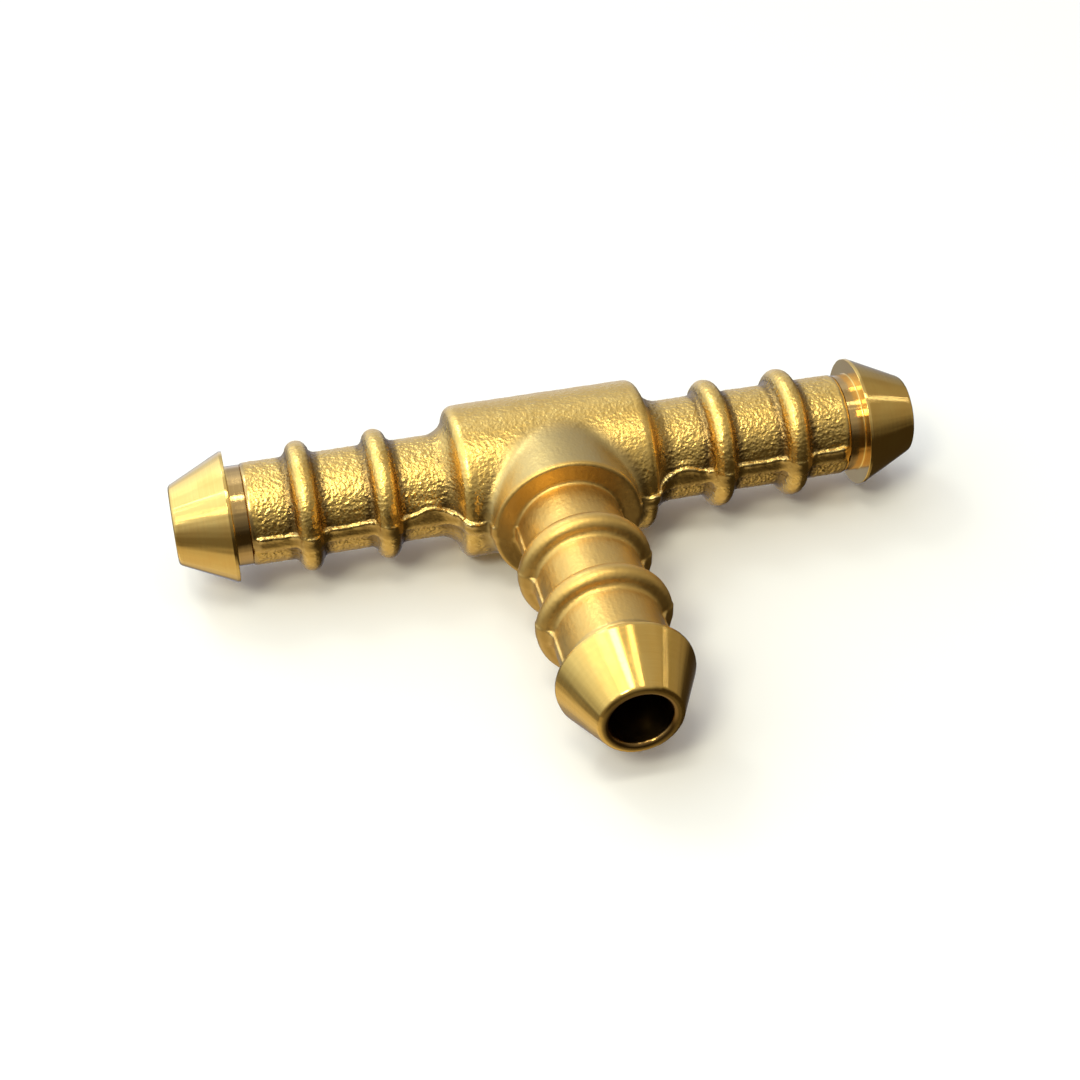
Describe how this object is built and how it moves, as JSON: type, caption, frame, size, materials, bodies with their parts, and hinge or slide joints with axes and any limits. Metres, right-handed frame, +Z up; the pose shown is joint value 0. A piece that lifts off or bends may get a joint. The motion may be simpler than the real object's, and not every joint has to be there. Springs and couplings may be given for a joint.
{
  "type": "barbed tee hose connector",
  "caption": "Solid brass barbed tee: forged barrel hub, three ringed shanks with trimmed flash, turned tapered barbs and drilled waterways.",
  "frame": {"origin": "crossing of the run's axis and the branch's axis, at the centre of the hub, on the forging's parting plane", "axes": "+X along the run from the branch towards the right-hand end, -Y along the branch, +Z up, square to the parting plane"},
  "size_m": [0.059, 0.0351, 0.012],
  "materials": {
    "forged_brass": "hot forged and shot blasted, fine bright grain, satin; trimmed flash along the parting line",
    "turned_brass": "bright turned with fine circumferential tool marks, glossy"
  },
  "bodies": {
    "root": {"tee_body": "forged_brass", "left_tail": "forged_brass", "right_tail": "forged_brass", "branch_tail": "forged_brass", "left_nozzle": "turned_brass", "right_nozzle": "turned_brass", "branch_nozzle": "turned_brass"}
  },
  "joints": []
}
